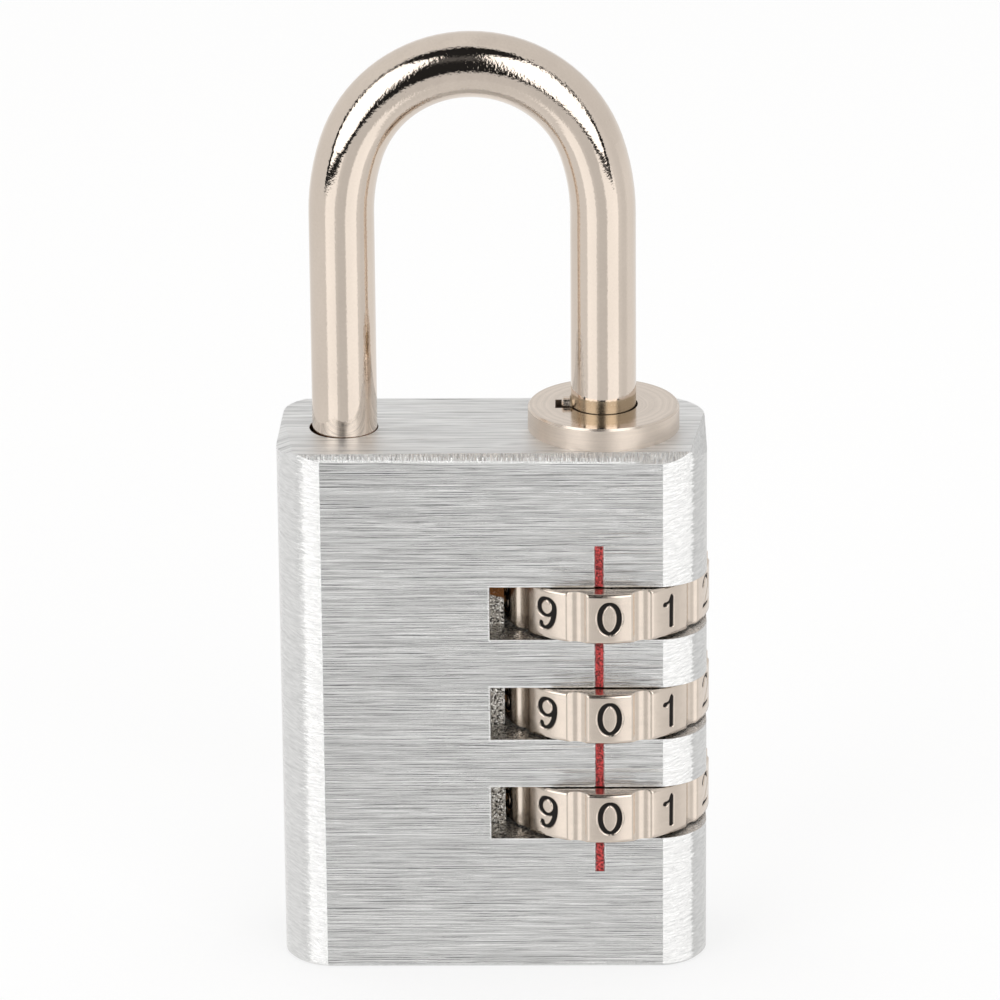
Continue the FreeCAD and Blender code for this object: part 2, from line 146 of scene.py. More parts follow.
class PadlockFinishes(bpy.types.PropertyGroup):
    """Colours and roughness of the metals and paints."""

    aluminium: colour("Aluminium", "Brushed aluminium of the body", (0.80, 0.80, 0.797))
    aluminium_rough: factor("Aluminium roughness", "Mean roughness of the body", 0.24)
    nickel: colour("Nickel", "Nickel plate of shackle, collar and dials", (0.765, 0.668, 0.582))
    shackle_rough: factor("Shackle roughness", "Mean roughness of the shackle", 0.045)
    collar_rough: factor("Collar roughness", "Mean roughness of the collar", 0.09)
    dial_rough: factor("Dial roughness", "Mean roughness of the dials", 0.2)
    steel: colour("Steel", "Pins, clip, washers and coil spring", (0.55, 0.54, 0.53))
    brass: colour("Brass", "Clutch sleeves", (0.78, 0.58, 0.27))
    bronze: colour("Bronze", "Leaf springs", (0.68, 0.45, 0.26))
    ink: colour("Figure paint", "Paint in the engraved figures", (0.012, 0.010, 0.009))
    red: colour("Index paint", "Paint of the index line", (0.42, 0.045, 0.045))
    # The milled colour is dark, partly as painted shade of the slots.
    milled: colour("Milled pocket", "Rough walls of the slots", (0.46, 0.43, 0.39))
    # Brown patch in the upper left of the top slot.
    blotch: colour("Pocket stain", "Brown stain in the corner of the top slot", (0.20, 0.085, 0.03))


class PadlockStudio(bpy.types.PropertyGroup):
    """Camera, floor and light."""

    azimuth: angle("Camera azimuth", "Camera's turn round the lock", 0.9)
    elevation: angle("Camera elevation", "Camera's height above the horizon", 20.85)
    roll: angle("Camera roll", "Camera's turn about its own axis", -0.5)
    distance: length("Camera distance", "From the aimed point to the camera", 498.0)
    aim_x: length("Aim across", "Aimed point across the lock", 0.51)
    aim_z: length("Aim height", "Aimed point above the floor", 33.17)
    lens: FloatProperty(name="Lens", description="Focal length in millimetres", default=255.3)
    floor: length("Floor", "Half the side of the floor", 1500.0)
    floor_white: factor("Floor white", "Share of plain white that camera and metal see in the floor", 0.7)
    lamp_side: length("Lamp side", "Side of the overhead lamp", 500.0)
    lamp_height: length("Lamp height", "Height of the overhead lamp", 700.0)
    lamp_power: FloatProperty(name="Lamp power", description="Power of the overhead lamp", default=1.6,
                              unit="POWER")


class Signal:
    """One output of a shader tree. Arithmetic on it adds Math nodes to its tree."""

    def __init__(self, graph, socket):
        self.graph = graph
        self.socket = socket

    def maths(self, operation, *values, clamp=False):
        """Result of one Math node on some values."""
        settings = {"operation": operation, "use_clamp": clamp}
        return self.graph.add("ShaderNodeMath", settings, dict(enumerate(values)))

    def __add__(self, other):
        return self.maths("ADD", self, other)

    def __radd__(self, other):
        return self.maths("ADD", other, self)

    def __sub__(self, other):
        return self.maths("SUBTRACT", self, other)

    def __rsub__(self, other):
        return self.maths("SUBTRACT", other, self)

    def __mul__(self, other):
        return self.maths("MULTIPLY", self, other)

    def __rmul__(self, other):
        return self.maths("MULTIPLY", other, self)

    def __truediv__(self, other):
        return self.maths("DIVIDE", self, other)

    def __pow__(self, other):
        return self.maths("POWER", self, other)

    def size(self):
        """Absolute value."""
        return self.maths("ABSOLUTE", self)

    def clipped(self):
        """The value held between 0 and 1."""
        return self.maths("ADD", self, 0.0, clamp=True)

    def at_most(self, limit):
        """The value, or the limit where that is less."""
        return self.maths("MINIMUM", self, limit)

    def rise(self, start, end):
        """Smooth step from 0 at start to 1 at end; start may be the larger."""
        if start > end:
            return 1 - self.rise(end, start)
        inputs = {"Value": self, "From Min": start, "From Max": end}
        return self.graph.add("ShaderNodeMapRange", {"interpolation_type": "SMOOTHSTEP"}, inputs)

    def band(self, low, high, soft):
        """1 between low and high, with edges that are soft on both sides."""
        return self.rise(low - soft, low + soft) * self.rise(high + soft, high - soft)


class Graph:
    """Adds nodes to one shader tree."""

    def __init__(self, tree):
        self.tree = tree
        tree.nodes.clear()

    def add(self, kind, settings=None, inputs=None, output=0):
        """New node of a kind, with its settings made first and then its inputs, as values or links."""
        node = self.tree.nodes.new(kind)
        for name, value in (settings or {}).items():
            setattr(node, name, value)
        for key, value in (inputs or {}).items():
            self.feed(node.inputs[key], value)
        return Signal(self, node.outputs[output])

    def feed(self, socket, value):
        """Links a signal to a socket, or sets the socket's own value."""
        if isinstance(value, Signal):
            self.tree.links.new(value.socket, socket)
        elif hasattr(value, "__len__") and len(value) == 3 and socket.type == "RGBA":
            socket.default_value = (*value, 1.0)
        else:
            socket.default_value = value

    def place(self):
        """Object coordinates in millimetres, as three signals."""
        return self.split(self.vector("SCALE", self.add("ShaderNodeTexCoord", output="Object"), 1 / MM))

    def facing(self):
        """Components of the surface normal in the piece's own axes."""
        return self.split(self.add("ShaderNodeTexCoord", output="Normal"))

    def split(self, vector):
        """The three components of a vector."""
        node = self.tree.nodes.new("ShaderNodeSeparateXYZ")
        self.feed(node.inputs[0], vector)
        return [Signal(self, output) for output in node.outputs]

    def join(self, x, y, z):
        """Vector of three components."""
        return self.add("ShaderNodeCombineXYZ", None, {0: x, 1: y, 2: z})

    def noise(self, x, y, z, detail=2.0, roughness=0.5):
        """Noise from 0 to 1 at a point whose components are in cells."""
        inputs = {"Vector": self.join(x, y, z), "Scale": 1.0, "Detail": detail, "Roughness": roughness}
        return self.add("ShaderNodeTexNoise", {"noise_dimensions": "3D"}, inputs)

    def mix(self, mask, first, second):
        """Colour that goes from the first to the second as the mask goes from 0 to 1."""
        return self.add("ShaderNodeMix", {"data_type": "RGBA"}, {0: mask, 6: first, 7: second}, output=2)

    def tint(self, tone, level):
        """A colour made lighter or darker by a signal."""
        return self.vector("MULTIPLY", tone, self.join(level, level, level))

    def blend(self, mask, first, second):
        """Number that goes from the first to the second as the mask goes from 0 to 1."""
        return first + (second - first) * mask

    def vector(self, operation, first, second=(0, 0, 0)):
        """Vector Math of two vectors; SCALE takes a number second."""
        key = "Scale" if operation == "SCALE" else 1
        return self.add("ShaderNodeVectorMath", {"operation": operation}, {0: first, key: second})

    def normal(self):
        """Smooth normal of the surface."""
        return self.add("ShaderNodeNewGeometry", output="Normal")

    def bump(self, height, millimetres, normal=None):
        """Normal of a surface raised by a height signal times a number of millimetres."""
        inputs = {"Height": height, "Strength": 1.0, "Distance": millimetres * MM}
        if normal is not None:
            inputs["Normal"] = normal
        return self.add("ShaderNodeBump", None, inputs)

    def end(self, kind, shader):
        """Ends the tree in an output node of a kind, fed by a shader."""
        self.feed(self.tree.nodes.new(kind).inputs["Surface"], shader)


def new_finish(name):
    """Material with an empty graph, and the graph."""
    material = bpy.data.materials.new(name)
    material.use_nodes = True
    return material, Graph(material.node_tree)


def close_finish(graph, base, rough, metal=1.0, normal=None, gloss=0.5):
    """Puts the principled shader and the output on a finish. Gloss is the mirror part of what isn't metal."""
    inputs = {"Base Color": base, "Roughness": rough, "Metallic": metal, "Specular IOR Level": gloss}
    if normal is not None:
        inputs["Normal"] = normal
    graph.end("ShaderNodeOutputMaterial", graph.add("ShaderNodeBsdfPrincipled", None, inputs))


def slot_heights(paint):
    """Floor and ceiling of each slot, from the lowest slot up."""
    return sorted((low.z - paint.slot_below, high.z + paint.slot_above) for low, high in DIAL_BOXES.values())


def line_ends(paint):
    """Lower and upper end of the index line."""
    slots = slot_heights(paint)
    return slots[0][0] - paint.below, slots[-1][1] + paint.above


class Block:
    """Where a point of the body lies: its place in millimetres, its normal, and masks of the faces."""

    def __init__(self, graph):
        self.graph = graph
        self.x, self.y, self.z = graph.place()
        self.nx, self.ny, self.nz = graph.facing()
        self.inward = self.y - FRONT_Y
        self.below = BODY_TOP - self.z
        self.flat = self.nz.size()
        self.upright = 1 - self.flat.rise(0.1, 0.3)
        self.right = self.nx.rise(-0.01, 0.01)
        self.top = self.flat.rise(0.89, 0.92)
        self.flank = self.nx.size().rise(0.05, 0.12)
        self.bevel = self.flat.rise(0.25, 0.35) * (1 - self.top) * (1 - self.flank)


def flank_band(block):
    """Mask of the bright band on each flank, beside the front face. Noise frays its far edge.

    The band is where the size of the normal's part along X lies between 0.02 and an end at about 0.47 on the left
    and 0.73 on the right.
    """
    jag = block.graph.noise(block.x * 0.8, block.y * 0.8, block.z * 6.0, 3.0, 0.7) - 0.5
    reach = block.nx.size() - block.right * 0.26 + jag * 0.3
    ahead = (0 - block.ny).rise(0.0, 0.2) * (1 - block.flat.rise(0.35, 0.5))
    return block.nx.size().rise(0.015, 0.03) * reach.rise(0.49, 0.44) * ahead


def brushing_and_painted_light(block, band):
    """Light and dark of the brushing, with painted light and shade of the faces, as a signal around 0.

    On the front it is the sum of broad, thin and hair lines, each a noise that is stretched along X and Y, with
    single dark and light strokes at the ends of the thin one's range, all lifted by 0.12 as painted light. A flank
    keeps a fifth of that, is lifted by 0.04 as painted light and adds slanted ticks; the bright band is painted 0.04
    lighter as a painted highlight, and the right flank is painted 0.19 darker outside the band and 0.09 in it, as
    painted shade. The top has lines and single cuts along X, lifted by only 0.06, so that it is painted darker than
    the front as painted shade; the bevel has upright ticks.
    """
    graph, x, y, z = block.graph, block.x, block.y, block.z
    broad = graph.noise(x * 0.05, y * 0.05, z * 1.5, 2.0, 0.5) - 0.5
    thin = graph.noise(x * 0.035 + 3.0, y * 0.035, z * 6.0, 2.0, 0.7)
    hair = graph.noise(x * 0.16 + 6.0, y * 0.16, z * 11.0, 1.0, 0.6) - 0.5
    # Painted light: the front is lifted by 0.12.
    front = 0.12 + broad * 0.3 + (thin - 0.5) * 0.65 + hair * 0.55
    front = front - thin.rise(0.36, 0.28) * 0.2 + thin.rise(0.66, 0.72) * 0.2

    slanted = graph.noise(x * 1.4, y * 1.4 + 4.0, z * 6.5 - x.size() * 1.6, 3.0, 0.65) - 0.5
    # Painted light and shade of the flanks: lighter on the bright band, darker on the right.
    shade = 0.04 + band * 0.04 - block.right * (0.19 - band * 0.10)
    sides = graph.blend(block.flank, front, front * 0.2 + slanted * 0.5 + shade)

    along = (graph.noise(x * 0.10, y * 3.4, 3.0, 3.0, 0.75) - 0.5) * 1.7
    cuts = graph.noise(x * 0.15, y * 4.5, 9.0, 2.0, 0.6)
    # Painted shade: the top is lifted by less than the front.
    above = 0.06 + along - cuts.rise(0.40, 0.32) * 0.3 + cuts.rise(0.62, 0.68) * 0.2
    ticks = graph.noise(x * 9.0, y * 1.5, z * 1.5, 3.0, 0.7) - 0.5
    return graph.blend(block.bevel, graph.blend(block.top, sides, above), ticks * 1.7)


def burr_glints(block, paint):
    """Mask of the glints on the front's burred edges, painted near white as painted highlights: at the top bevel,
    round the windows and beside the index groove.

    Each is a band along its edge, 0.05 to 0.1 mm wide. Noise widens the bevel's in places up to 0.3 mm, and chips
    those of the windows.
    """
    graph, x, z = block.graph, block.x, block.z
    above_edge = z - (BODY_TOP - BEVEL_DROP - x * BEVEL_SLOPE)
    ragged = graph.noise(x * 6.0, 2.0, 5.0, 3.0, 0.7).rise(0.50, 0.56)
    lip = (above_edge.band(-0.03, 0.10, 0.02) + above_edge.band(-0.02, 0.3, 0.02) * ragged).clipped()
    lip = lip * block.inward.rise(0.45, 0.3) * (1 - block.flank) * x.rise(11.0, 8.0)

    face = block.inward.rise(0.03, 0.01)
    chip = graph.noise(x * 4.0, 7.0, z * 4.0, 3.0, 0.7) * 0.12
    window = 0.0
    for floor, ceiling in slot_heights(paint):
        sill, lintel = floor / MM - 0.05, ceiling / MM + 0.06
        inside = (z + chip).rise(sill - 0.02, sill + 0.02) * (z - chip).rise(lintel + 0.02, lintel - 0.02)
        window = window + inside
    window = window * (x + chip).rise(WINDOW_LEFT - 0.07, WINDOW_LEFT - 0.03) * face * block.upright

    half = paint.half_width / MM
    low, high = line_ends(paint)
    groove = (x - paint.line_x / MM).size().band(half, half + 0.06, 0.02)
    groove = groove * z.band(low / MM - 0.065, high / MM + 0.065, 0.05) * face
    return (lip + window * 0.7 + groove * 0.6).clipped()


def brushed_normal(block, band, burr_glint):
    """Normal of the body, with three vectors added before it is made a unit again.

    Brushing sways it along upright faces. The bright band of a flank and the burrs turn it towards the front.
    """
    graph = block.graph
    wander = graph.noise(block.x * 0.5, block.y * 0.5, block.z * 6.0, 3.0, 0.6) - 0.5
    sway = graph.vector("SCALE", graph.join(0 - block.ny, block.nx, 0.0), block.upright * wander * 0.22)
    glint = graph.join((block.right * 2.0 - 1.0) * 0.3, -0.944, 0.0)
    normal = graph.vector("ADD", graph.normal(), sway)
    normal = graph.vector("ADD", normal, graph.vector("SCALE", glint, band * 4.0))
    catch = graph.vector("SCALE", (-0.25, -0.96, -0.08), burr_glint * 3.0)
    return graph.vector("NORMALIZE", graph.vector("ADD", normal, catch))


def milling(block, paint):
    """Masks of what a cutter left rough: all of it, and the short leg's hole by itself.

    All of it is the level faces between top and underside, the walls of the slots, and that hole.
    """
    x, y, z = block.x, block.y, block.z
    in_slot = 0.0
    for floor, ceiling in slot_heights(paint):
        in_slot = in_slot + z.band(floor / MM, ceiling / MM, 0.02)
    level = block.flat.rise(0.6, 0.8) * block.below.rise(0.9, 1.0) * z.rise(0.5, 0.7)
    walls = in_slot * block.inward.rise(0.02, 0.06) * x.rise(WINDOW_LEFT - 0.14, WINDOW_LEFT - 0.04)
    aside = (x - (TOE_LEFT + TOE_INSET)) ** 2.0 + y ** 2.0
    shaded_toe_hole = aside.rise((TOE_HOLE_R + 0.06) ** 2, TOE_HOLE_R ** 2) * block.below.rise(0.01, 0.08)
    return (level + walls + shaded_toe_hole).clipped(), shaded_toe_hole


def milled_tone_and_shade(block, looks, shaded_toe_hole, grit, speck_glints):
    """Colour of the milled faces: dark grit, which is partly painted shade of the slots, with white dots as painted
    glints.

    The short leg's hole lacks the dots and is painted near black as painted shade. A corner of the top slot is
    brown, and the outer end of every slot is plain aluminium.
    """
    graph, x, z = block.graph, block.x, block.z
    outside_toe_hole = 1 - shaded_toe_hole
    # Painted shade: the grit is dark, and near black in the short leg's hole.
    tone = graph.tint(looks.milled, (grit.rise(0.42, 0.56) * 1.1 + 0.05) * (outside_toe_hole + 0.15))
    # Painted glints: white dots on the milled faces.
    tone = graph.mix(speck_glints * outside_toe_hole, tone, (1.0, 0.99, 0.96))
    # Brown patch in the upper left of the top slot, mixed over the grit.
    corner = (x + z * 0.5).rise(15.1, 14.6) * (z + x * 0.25).rise(27.15, 27.3) * block.inward.rise(0.02, 0.3)
    tone = graph.mix((corner * grit.rise(0.3, 0.45)).clipped(), tone, looks.blotch)
    outer = x.rise(OUTER_LEFT, OUTER_RIGHT) * block.flat.rise(0.6, 0.8) * outside_toe_hole
    return graph.mix(outer, tone, looks.aluminium)


def brushed_aluminium(looks, paint):
    """Brushed block with painted light and shade, whose burred edges catch the light and carry painted highlights,
    rough and speckled where its slots and hole were milled, with painted shade and painted glints there.
    """
    material, graph = new_finish("brushed_aluminium")
    block = Block(graph)
    band = flank_band(block)
    lines = brushing_and_painted_light(block, band)
    burr_glint = burr_glints(block, paint)
    # The colour carries the painted light and shade of the brushing signal.
    base = graph.tint(looks.aluminium, (1.0 + lines).at_most(1.25))
    # Painted highlight: the burred edges' glints are painted near white.
    base = graph.mix(burr_glint, base, (0.95, 0.95, 0.945))
    rough = looks.aluminium_rough + lines * 0.1 + block.top * 0.17 - block.flank * 0.04

    milled, shaded_toe_hole = milling(block, paint)
    x, y, z = block.x, block.y, block.z
    grit = graph.noise(x * 5.0, y * 5.0, z * 5.0, 3.0, 0.7)
    speck_glints = graph.noise(x * 6.5 + 5.0, y * 6.5, z * 6.5, 1.0, 0.6).rise(0.55, 0.58)
    base = graph.mix(milled, base, milled_tone_and_shade(block, looks, shaded_toe_hole, grit, speck_glints))
    rough = graph.blend(milled, rough, 0.40 - speck_glints * 0.2)
    height = graph.blend(milled, lines, grit)
    normal = graph.bump(height, 0.09, brushed_normal(block, band, burr_glint))
    close_finish(graph, base, rough, 1.0, normal)
    return material


def stained(graph, x, z):
    """Mask of the ragged brown zone at the foot of the long leg, which is the right one."""
    ragged = z + graph.noise(x * 3.0, 1.0, z * 1.5, 3.0, 0.6) * 0.3
    zone = ragged.rise(COLLAR_TOP + 1.2, COLLAR_TOP + 1.05) * ragged.rise(COLLAR_TOP - 0.8, COLLAR_TOP - 0.4)
    return zone * x.rise(5.4, 5.5)


def turning_marks(graph, level):
    """Marks of the lathe: rings about the long leg's axis on level faces, hoops on upright ones."""
    x, y, z = graph.place()
    radius = ((x - AXIS_X / MM) ** 2.0 + y ** 2.0) ** 0.5
    swirl = graph.noise(x * 0.5, y * 0.5, 1.0, 1.0, 0.5) * 1.5
    rings = graph.noise(radius * 4.5 + swirl, 0.5, z * 0.5, 4.0, 0.7)
    hoops = graph.noise(x * 0.3, y * 0.3, z * 8.0, 3.0, 0.6)
    return graph.blend(level, hoops, rings)


def nickel_plate(name, tone, rough, grain, turned=False):
    """Satin nickel with a fine grain, coarser at the top of the arch.

    A turned piece has the marks of the lathe, and its chamfer's normal is drawn down, so it mirrors what lies lower.
    Any other piece has the brown zone at the foot of the long leg.
    """
    material, graph = new_finish(name)
    x, y, z = graph.place()
    fine = graph.noise(x * 5.5, y * 5.5, z * 5.5, 2.0, 0.5)
    broad = graph.noise(x * 0.7, y * 0.7, z * 0.25, 2.0, 0.5)
    patch = graph.noise(x * 0.35 + 8.0, y * 0.35, z * 0.35, 2.0, 0.5).rise(0.42, 0.62)
    height = fine * grain * (0.4 + patch * 0.4 + 1.5 * z.rise(ARCH_LOW, ARCH_HIGH))
    shade = 0.90 + 0.12 * broad + 0.08 * fine
    normal = None
    if turned:
        up = graph.facing()[2]
        level = up.size().rise(0.6, 0.9)
        marks = turning_marks(graph, level)
        height = height + marks * 0.5
        shade = shade + (marks - 0.5) * (0.25 + 0.35 * level)
        rough = graph.blend(level, rough * 3.6, rough)
        down = graph.join(0.0, 0.0, up.band(0.6, 0.8, 0.05) * (-0.45 + 0.3 * fine))
        normal = graph.vector("NORMALIZE", graph.vector("ADD", graph.normal(), down))
    else:
        brown = stained(graph, x, z)
        tone = graph.mix(brown, tone, (0.48, 0.39, 0.28))
        rough = rough + brown * 0.22
    base = graph.tint(tone, shade)
    close_finish(graph, base, rough + (fine - 0.5) * 0.05, 1.0, graph.bump(height, 0.02, normal))
    return material


def engraved_nickel(looks):
    """Nickel of the dials, with paint where the mesh says that a figure is engraved."""
    material, graph = new_finish("engraved_nickel")
    x, y, z = graph.place()
    ink = graph.add("ShaderNodeAttribute", {"attribute_name": "ink"}, output="Fac")
    lines = graph.noise(x * 0.6, y * 0.6, z * 8.0, 3.0, 0.6)
    fine = graph.noise(x * 11.0, y * 11.0, z * 11.0, 3.0, 0.6)
    cloud = graph.noise(x * 1.2, y * 1.2, z * 1.2, 3.0, 0.6)
    plate = graph.tint(looks.nickel, 0.90 + 0.14 * cloud + 0.10 * lines)
    grit = graph.noise(x * 9.0, y * 9.0, z * 9.0, 3.0, 0.7)
    paint = graph.tint(looks.ink, 0.5 + grit)
    mask = ink.rise(0.62, 0.82)
    base = graph.mix(mask, plate, paint)
    rough = graph.blend(mask, looks.dial_rough + (lines - 0.5) * 0.1, 0.5)
    height = graph.blend(mask, lines * 0.4 + fine * 0.35, grit * 0.8)
    close_finish(graph, base, rough, 1 - mask, graph.bump(height, 0.012), 0.15)
    return material


def index_red(looks, paint):
    """Granular red paint with dark hollows and light scratches, and pale edges that are painted highlights."""
    material, graph = new_finish("index_red")
    x, y, z = graph.place()
    grit = graph.noise(x * 7.0, y * 7.0, z * 7.0, 4.0, 0.75)
    flecks = graph.noise(x * 9.0, 4.0, z * 7.0, 2.0, 0.6).rise(0.62, 0.70)
    base = graph.tint(looks.red, grit.rise(0.38, 0.62) * 1.8 + 0.04)
    base = graph.mix(flecks * 0.5, base, (0.75, 0.45, 0.43))
    # Painted highlight: pale glints along both edges of the paint.
    rim = (x - paint.line_x / MM).size().rise(0.25, 0.32) * grit.rise(0.40, 0.5)
    base = graph.mix(rim * 0.8, base, (0.9, 0.78, 0.77))
    close_finish(graph, base, 0.42, 0.0, graph.bump(grit, 0.06), 0.3)
    return material


def plain_metal(name, tone, rough, scale):
    """Unplated metal of a hidden piece, with a soft mottle and fine marks along Z."""
    material, graph = new_finish(name)
    x, y, z = graph.place()
    mottle = graph.noise(x * scale, y * scale, z * scale, 3.0, 0.6)
    marks = graph.noise(x * 6.0, y * 6.0, z * 0.7, 2.0, 0.6)
    base = graph.tint(tone, 0.85 + 0.3 * mottle)
    close_finish(graph, base, rough + (marks - 0.5) * 0.15, 1.0, graph.bump(marks, 0.006))
    return material


def wear(node, material):
    """Gives one material to the whole of an object."""
    node.data.materials.clear()
    node.data.materials.append(material)


def grid_piece(name, points, body, material, wrap_rows=False, caps=False, smooth=60.0):
    """Piece over a grid of points, rows by columns, whose columns close on themselves.

    Neighbours in the grid are joined by quads. The rows close too when asked, or else may end in caps.
    """
    rows, columns = points.shape[:2]
    index = np.arange(rows * columns).reshape(rows, columns)
    if wrap_rows:
        index = np.vstack([index, index[:1]])
    index = np.hstack([index, index[:, :1]])
    a, b, c, d = index[:-1, :-1], index[:-1, 1:], index[1:, 1:], index[1:, :-1]
    faces = np.stack([a, b, c, d], -1).reshape(-1, 4).tolist()
    if caps:
        faces += [index[0, :-1][::-1].tolist(), index[-1, :-1].tolist()]
    mesh = bpy.data.meshes.new(name)
    mesh.from_pydata(points.reshape(-1, 3).tolist(), [], faces)
    mesh.validate()
    mesh.shade_smooth()
    mesh.set_sharp_from_angle(angle=math.radians(smooth))
    piece = bpy.data.objects.new(name, mesh)
    bpy.context.scene.collection.objects.link(piece)
    wear(piece, material)
    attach(piece, body)
    return piece


def arc(cx, cy, rx, ry, start, end, count=40):
    """Points of an ellipse's arc between two angles in degrees, counted from the right, against the clock."""
    t = np.radians(np.linspace(start, end, count))
    return np.stack([cx + rx * np.cos(t), cy + ry * np.sin(t)], -1)


def line(*corners, count=24):
    """Points along straight runs between corners."""
    corners = np.array(corners, float)
    runs = [np.linspace(p, q, count) for p, q in zip(corners, corners[1:])]
    return np.vstack(runs)


def figure_strokes():
    """Centre lines of the ten figures, for a half height of 1. A number beside a stroke fixes its width."""
    nine = [(arc(0.0, 0.42, 0.56, 0.57, 0, 360), None), (arc(-0.12, 0.30, 0.68, 1.28, 4, -112), None),
            (arc(-0.42, -0.72, 0.03, 0.03, 0, 360, 8), 0.75)]
    return {
        0: [(arc(0, 0, 0.63, 1.0, 0, 360, 80), None)],
        1: [(line((0.10, 0.88), (0.07, -1.0)), 0.95), (line((0.10, 1.0), (-0.06, 0.62), (-0.42, 0.47)), 0.62),
            (arc(-0.42, 0.47, 0.03, 0.03, 0, 360, 8), 0.8)],
        2: [(arc(0, 0.47, 0.54, 0.53, 172, -32), None), (line((0.46, 0.19), (-0.55, -0.92)), 0.5),
            (line((-0.55, -0.92), (0.6, -0.92)), 0.72)],
        3: [(arc(-0.04, 0.50, 0.48, 0.50, 155, -85), None), (arc(-0.04, -0.46, 0.58, 0.54, 85, -155), None)],
        4: [(line((0.24, 1.0), (0.24, -1.0)), 0.95), (line((0.24, 1.0), (-0.62, -0.38), (0.62, -0.38)), 0.5)],
        5: [(line((0.5, 0.94), (-0.38, 0.94)), 0.62), (line((-0.38, 0.94), (-0.44, 0.16)), 0.5),
            (arc(-0.03, -0.36, 0.58, 0.62, 130, -150), None)],
        6: [(-points, weight) for points, weight in nine],
        7: [(line((-0.56, 0.93), (0.56, 0.93)), 0.65), (line((0.56, 0.93), (-0.14, -1.0)), 0.8)],
        8: [(arc(0, 0.50, 0.44, 0.49, 0, 360, 60), None), (arc(0, -0.46, 0.57, 0.54, 0, 360, 60), None)],
        9: nine,
    }


def ink_distance(figure, across, up, sizes):
    """How far grid points lie outside the strokes of a figure, below 0 inside them.

    A stroke without a width of its own is as wide as a broad pen makes it: thick where it runs up, thin where it
    runs level.
    """
    nearest = np.full(across.shape, 1.0)
    for points, weight in figure_strokes()[figure]:
        if weight is None:
            step = np.gradient(points, axis=0)
            upright = np.abs(step[:, 1]) / np.hypot(step[:, 0], step[:, 1])
            half = sizes.thin_stroke + (sizes.thick_stroke - sizes.thin_stroke) * upright ** 0.95
        else:
            half = sizes.thick_stroke * weight
        centre = points * sizes.figure_height / 2
        gap = np.hypot(across[..., None] - centre[:, 0], up[..., None] - centre[:, 1]) - half
        nearest = np.minimum(nearest, gap.min(-1))
    return nearest


def land_angles(sizes):
    """Angles of the grid over one land and the halves of its flutes, counted from the land's middle.

    They lie a cell apart over the figure, further apart beyond, and in a close pair at each wall of the notch.
    """
    half = math.pi / FIGURES
    fine = FIGURE_ROOM / DIAL_RADIUS
    notch = math.asin(sizes.notch_half / sizes.bore)
    inner = np.arange(-fine, fine, sizes.cell / DIAL_RADIUS)
    outer = np.linspace(fine, half, 15)
    walls = [notch - NOTCH_SLIVER, notch + NOTCH_SLIVER, NOTCH_SLIVER - notch, -notch - NOTCH_SLIVER]
    angles = np.unique(np.round(np.concatenate([inner, outer, -outer[:-1], walls]), 7))
    return angles[angles > -half + 1e-6]


def land_heights(sizes, low, high, middle):
    """Heights of the grid over the outside of a ring: close at both chamfers and over the figure."""
    reach = sizes.figure_height / 2 + sizes.thick_stroke + sizes.wall
    heights = np.concatenate([
        np.linspace(low.z, low.z + sizes.rim, 4),
        np.linspace(low.z + sizes.rim, middle - reach, 3)[1:-1],
        np.arange(middle - reach, middle + reach, sizes.cell),
        np.linspace(middle + reach, high.z - sizes.rim, 3)[:-1],
        np.linspace(high.z - sizes.rim, high.z, 4),
    ])
    return np.unique(np.round(heights, 8))


def fluted_radius(sizes, aside):
    """Outside radius of a ring at angles counted from the middle of a land.

    It is the smaller of the land's radius and of the flute's, which is a cylinder of the radius that its width and
    depth give. The two run into each other over a small rounding, as a soft minimum does.
    """
    flute = (sizes.flute_width ** 2 / 4 + sizes.flute_depth ** 2) / (2 * sizes.flute_depth)
    centre = DIAL_RADIUS + flute - sizes.flute_depth
    off = math.pi / FIGURES - np.abs(aside)
    under = np.maximum(flute ** 2 - (centre * np.sin(off)) ** 2, 0)
    hollow = np.where(under > 0, centre * np.cos(off) - np.sqrt(under), 2 * DIAL_RADIUS)
    return DIAL_RADIUS - FLUTE_EDGE * np.logaddexp(-(hollow - DIAL_RADIUS) / FLUTE_EDGE, 0.0)


